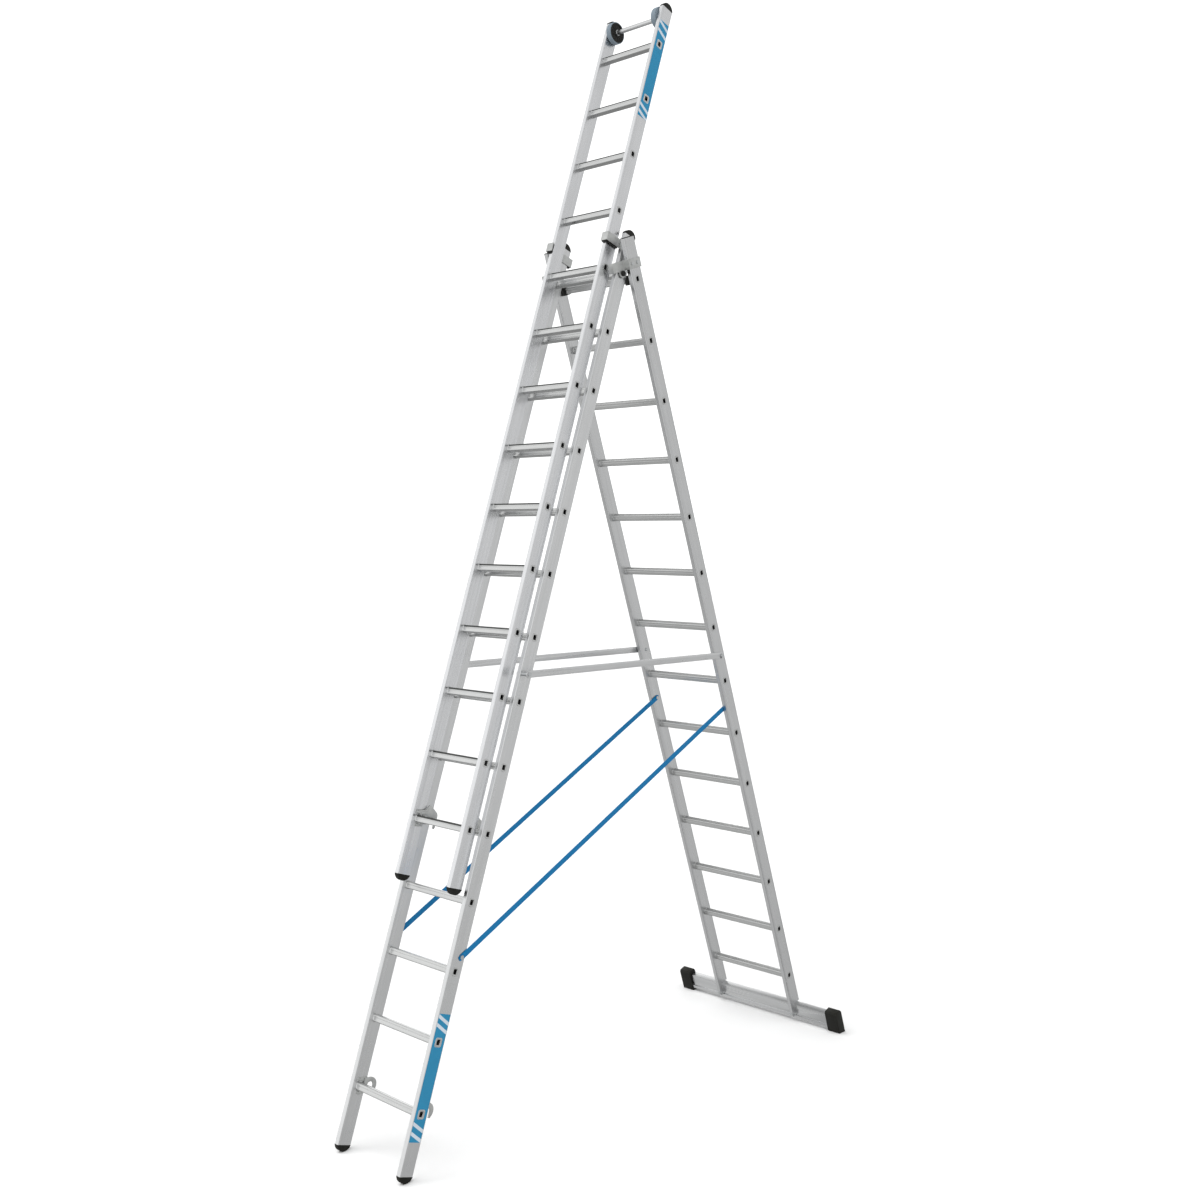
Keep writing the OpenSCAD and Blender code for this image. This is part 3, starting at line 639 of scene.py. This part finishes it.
def label_pieces(name, body, x, z_low, z_high, rungs, stripes, drop, matrix):
    """A label on the face at x: its film, cut out round the rungs, and its slanting stripes."""
    bm = bmesh.new()
    edges = []
    mid = (z_low + z_high) / 2
    loops = [[(y, z + mid) for y, z in rounded_rect(LABEL_HALF, (z_high - z_low) / 2, LABEL_R, 3)]]
    for k in rungs:
        loops.append([(y, z + k * PITCH) for y, z in rounded_rect(*CUT_OUT, 8)])
    for loop in loops:
        verts = [bm.verts.new((x, y, z)) for y, z in loop]
        edges += [bm.edges.new((verts[i], verts[(i + 1) % len(verts)])) for i in range(len(verts))]
    bmesh.ops.triangle_fill(bm, use_beauty=True, edges=edges)
    thick = bmesh.ops.extrude_face_region(bm, geom=bm.faces[:])
    moved = [v for v in thick["geom"] if isinstance(v, bmesh.types.BMVert)]
    bmesh.ops.translate(bm, verts=moved, vec=(FILM_T, 0, 0))
    obj = add_object(name + "_film", bm, body, "blue_film", 30.0, matrix)
    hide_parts(name)
    bm = bmesh.new()
    for centre in stripes:
        front = []
        back = []
        for i in range(STRIPE_STEPS + 1):
            y = STRIPE_REACH * (2 * i / STRIPE_STEPS - 1)
            low, high = clip_band(y, centre, drop, z_low + INSET, z_high - INSET)
            if high - low < STRIPE_MIN:
                continue
            for row, lift in zip((front, back), STRIPE_FACES):
                row.append([bm.verts.new((x + lift, y, z)) for z in (low, high)])
        for i in range(len(front) - 1):
            a, b, c, d = front[i], front[i + 1], back[i], back[i + 1]
            bm.faces.new((a[0], b[0], b[1], a[1]))
            bm.faces.new((c[0], c[1], d[1], d[0]))
            bm.faces.new((a[0], c[0], d[0], b[0]))
            bm.faces.new((a[1], b[1], d[1], c[1]))
        for i in (0, -1):
            bm.faces.new((front[i][0], front[i][1], back[i][1], back[i][0]))
    add_object(name + "_stripes", bm, body, "white_film", 30.0, matrix)


label_pieces(
    "front_label", "front", FRONT_X, -0.108, 0.392, (0, 1),
    (0.383, 0.349, -0.036, -0.073), 0.48, FRONT,
)
upper_low = LAST_RUNG - 0.375
upper_high = LAST_RUNG + 0.112
label_pieces(
    "upper_label", "upper", UPPER_X, upper_low, upper_high, (RUNGS - 2, RUNGS - 1),
    (upper_high - 0.007, upper_high - 0.047, upper_low + 0.058, upper_low + 0.024), 0.38, UPPER,
)

# ---------- webbing straps ----------


def shut_weight(point, start, end):
    """How far point follows the rear section for the folded strap to lie straight."""
    shut = (
        Matrix.Translation(hinge)
        @ Matrix.Rotation(-fold_range, 4, Vector(joints["fold"]["axis"]))
        @ Matrix.Translation(-hinge)
    )
    line = shut @ end - start
    off_line = Vector((0, -line.z, line.y))
    return off_line.dot(point - start) / off_line.dot(point - shut @ point)


def ease_inverse(weight):
    """Where between its start and its end a blend reaches this weight."""
    return 0.5 - math.sin(math.asin(1 - 2 * min(1.0, max(0.0, weight))) / 3)


STRAP_FRONT = (0.014, 0.620)
STRAP_REAR = (0.0, 1.545)
STRAP_END = 0.014
STRAP_HALF_W = 0.0125
STRAP_DOUBLED = 0.075
STRAP_HALF_T = (0.0012, 0.0007)
STRAP_COLUMNS = 6
STRAP_STEP = 0.013
STRAP_SHARES = (0.0, 0.05, 0.2, 0.5, 0.8, 0.95, 1.0)


def strap(side, sx):
    """Flat webbing from the front stile's bolt to the rear stile's, in several straight lengths."""
    node = f"strap_{side}"
    start = FRONT @ Vector((sx * (FRONT_X + 0.002), *STRAP_FRONT))
    end = REAR @ Vector((sx * (REAR_X - STILE_T - 0.003), *STRAP_REAR))
    run = end - start
    length = run.length
    along = run.normalized()
    out = Vector((1, 0, 0)) - along * along.x
    out.normalize()
    across = along.cross(out).normalized()
    for part, (low, high) in enumerate(zip(STRAP_SHARES, STRAP_SHARES[1:])):
        first = low * length - (STRAP_END if low == 0.0 else 0.0)
        last = high * length + (STRAP_END if high == 1.0 else 0.0)
        steps = max(8, round((last - first) / STRAP_STEP))
        bm = bmesh.new()
        rings = []
        for i in range(steps + 1):
            s = first + (last - first) * i / steps
            end_gap = min(s + STRAP_END, length + STRAP_END - s)
            pinch = 1.0 - 0.35 * max(0.0, 1.0 - end_gap / 0.010) ** 2
            thick = STRAP_HALF_T[0 if end_gap < STRAP_DOUBLED else 1]
            ring = []
            for k in range(STRAP_COLUMNS + 1):
                w = STRAP_HALF_W * pinch * (-1 + 2 * k / STRAP_COLUMNS)
                crown = thick * (1.0 if 0 < k < STRAP_COLUMNS else 0.45)
                ring.append((w, crown))
            ring = ring + [(w, -c) for w, c in reversed(ring)]
            rings.append([bm.verts.new(start + along * s + across * w + out * c) for w, c in ring])
        skin(bm, rings, closed=False)
        bm.faces.new(rings[0])
        bm.faces.new(rings[-1])
        obj = add_object(f"{node}_webbing_{part + 1}", bm, None, "webbing", 50.0)
        u_low = ease_inverse(shut_weight(start + run * low, start, end))
        u_high = ease_inverse(shut_weight(start + run * high, start, end))
        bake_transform(obj)
        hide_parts(node)


strap_start = FRONT @ Vector((0, *STRAP_FRONT))
strap_end = REAR @ Vector((0, *STRAP_REAR))
strap_angle = math.atan2(strap_end.z - strap_start.z, strap_end.y - strap_start.y)
mats["webbing"] = webbing("webbing", (0.003, 0.190, 0.450), -strap_angle)
strap("left", -1)
strap("right", 1)

# ---------- materials on the CAD nodes that stay ----------

cad_material = {
    "front_stile_left": "stile_front", "front_stile_right": "stile_front",
    "upper_stile_left": "stile_upper_painted_light", "upper_stile_right": "stile_upper_painted_light",
    "rear_stile_left": "stile_rear_painted_shade", "rear_stile_right": "stile_rear_painted_shade",
    "fold_knob_left": "black_plastic", "fold_knob_right": "black_plastic",
    "roller_axle": "bar_axle",
}
for name, obj in nodes.items():
    if not obj.hide_render:
        obj.data.materials.clear()
        obj.data.materials.append(mats[cad_material.get(name, "zinc")])

# ---------- floor, light, camera ----------

FLOOR_HALF = 60.0
FLOOR_GAP = 0.0005
floor_z = cad_box[0].z
bm = bmesh.new()
bmesh.ops.create_grid(bm, x_segments=8, y_segments=8, size=FLOOR_HALF)
floor_mesh = bpy.data.meshes.new("floor")
bm.to_mesh(floor_mesh)
bm.free()
floor = bpy.data.objects.new("floor", floor_mesh)
floor.location.z = floor_z - FLOOR_GAP
scene.collection.objects.link(floor)
paper = Mat("floor_paper")
paper.set(IOR=1.3)
cloud = paper.remap(paper.noise(0.6), 0.0, 1.0)
paper.colour(paper.blend(cloud, (0.79, 0.79, 0.79), (0.81, 0.81, 0.81)))
paper.roughness(paper.remap(paper.noise(3.0), 0.75, 0.9))
floor_mesh.materials.append(paper.material)
floor.visible_glossy = False


def studio_world():
    """A grey room with five soft panels for the metals to reflect; the camera sees plain white."""
    world = bpy.data.worlds.new("studio")
    scene.world = world
    world.use_nodes = True
    tree = world.node_tree
    shade = tree.nodes["Background"]
    where = tree.nodes.new("ShaderNodeTexCoord")
    split = tree.nodes.new("ShaderNodeSeparateXYZ")
    tree.links.new(where.outputs["Generated"], split.inputs["Vector"])

    def combine(operation, a, b):
        node = tree.nodes.new("ShaderNodeMath")
        node.operation = operation
        for socket, value in zip(node.inputs, (a, b)):
            if isinstance(value, float):
                socket.default_value = value
            else:
                tree.links.new(value, socket)
        return node.outputs["Value"]

    def panel(towards, low, high, strength):
        dot = tree.nodes.new("ShaderNodeVectorMath")
        dot.operation = "DOT_PRODUCT"
        dot.inputs[1].default_value = Vector(towards).normalized()
        tree.links.new(where.outputs["Generated"], dot.inputs[0])
        ease = tree.nodes.new("ShaderNodeMapRange")
        ease.interpolation_type = "SMOOTHSTEP"
        ease.inputs["From Min"].default_value = low
        ease.inputs["From Max"].default_value = high
        ease.inputs["To Max"].default_value = strength
        tree.links.new(dot.outputs["Value"], ease.inputs["Value"])
        return ease.outputs["Result"]

    tilt = combine("ABSOLUTE", split.outputs["Z"], 0.0)
    total = combine("SUBTRACT", 0.42, combine("MULTIPLY", tilt, 0.16))
    total = combine("ADD", total, panel((-0.69, -0.62, 0.37), 0.55, 0.97, 0.70))
    total = combine("ADD", total, panel((0.62, 0.66, 0.30), 0.40, 1.00, 0.32))
    total = combine("ADD", total, panel((0.69, -0.72, 0.15), 0.45, 0.95, 0.65))
    total = combine("ADD", total, panel((-0.58, -0.34, -0.74), 0.90, 1.00, 0.40))
    total = combine("ADD", total, panel((-0.69, 0.70, 0.28), 0.74, 0.98, 0.95))
    ray = tree.nodes.new("ShaderNodeLightPath")
    seen = tree.nodes.new("ShaderNodeMix")
    seen.inputs["B"].default_value = 1.3
    tree.links.new(ray.outputs["Is Camera Ray"], seen.inputs["Factor"])
    tree.links.new(total, seen.inputs["A"])
    tree.links.new(seen.outputs["Result"], shade.inputs["Strength"])
    shade.inputs["Color"].default_value = (0.995, 1.0, 0.998, 1)


studio_world()


def sun(name, towards, strength, width):
    """A sun seen by matt surfaces only, so that metals reflect the panels alone."""
    light = bpy.data.lights.new(name, "SUN")
    light.energy = strength
    light.angle = math.radians(width)
    obj = bpy.data.objects.new(name, light)
    obj.rotation_euler = Vector(towards).to_track_quat("-Z", "Y").to_euler()
    obj.visible_glossy = False
    scene.collection.objects.link(obj)


sun("key", (0.25, 0.45, -1.0), 1.8, 50)
sun("fill", (-0.60, 0.45, -1.0), 1.1, 70)

CAMERA_STAND = Vector((4.3791, -4.5858, 2.5401))
centre = Vector((
    (cad_box[0].x + cad_box[1].x) / 2,
    (cad_box[0].y + cad_box[1].y) / 2,
    floor_z,
))
azimuth = math.radians(43.542)
down = math.radians(2.632)
roll = math.radians(0.260)
forward = Vector((
    -math.sin(azimuth) * math.cos(down),
    math.cos(azimuth) * math.cos(down),
    -math.sin(down),
))
level = forward.cross(Vector((0, 0, 1))).normalized()
above = level.cross(forward)
right = level * math.cos(roll) + above * math.sin(roll)
above = right.cross(forward)
camera_data = bpy.data.cameras.new("camera")
camera_data.sensor_width = 36.0
camera_data.lens = 41.016
camera_data.clip_end = 200.0
camera = bpy.data.objects.new("camera", camera_data)
camera_turn = Matrix((right, above, -forward)).transposed().to_4x4()
camera.matrix_world = Matrix.Translation(centre + CAMERA_STAND) @ camera_turn
scene.collection.objects.link(camera)
scene.camera = camera
scene.view_settings.view_transform = "Standard"
scene.view_settings.look = "None"
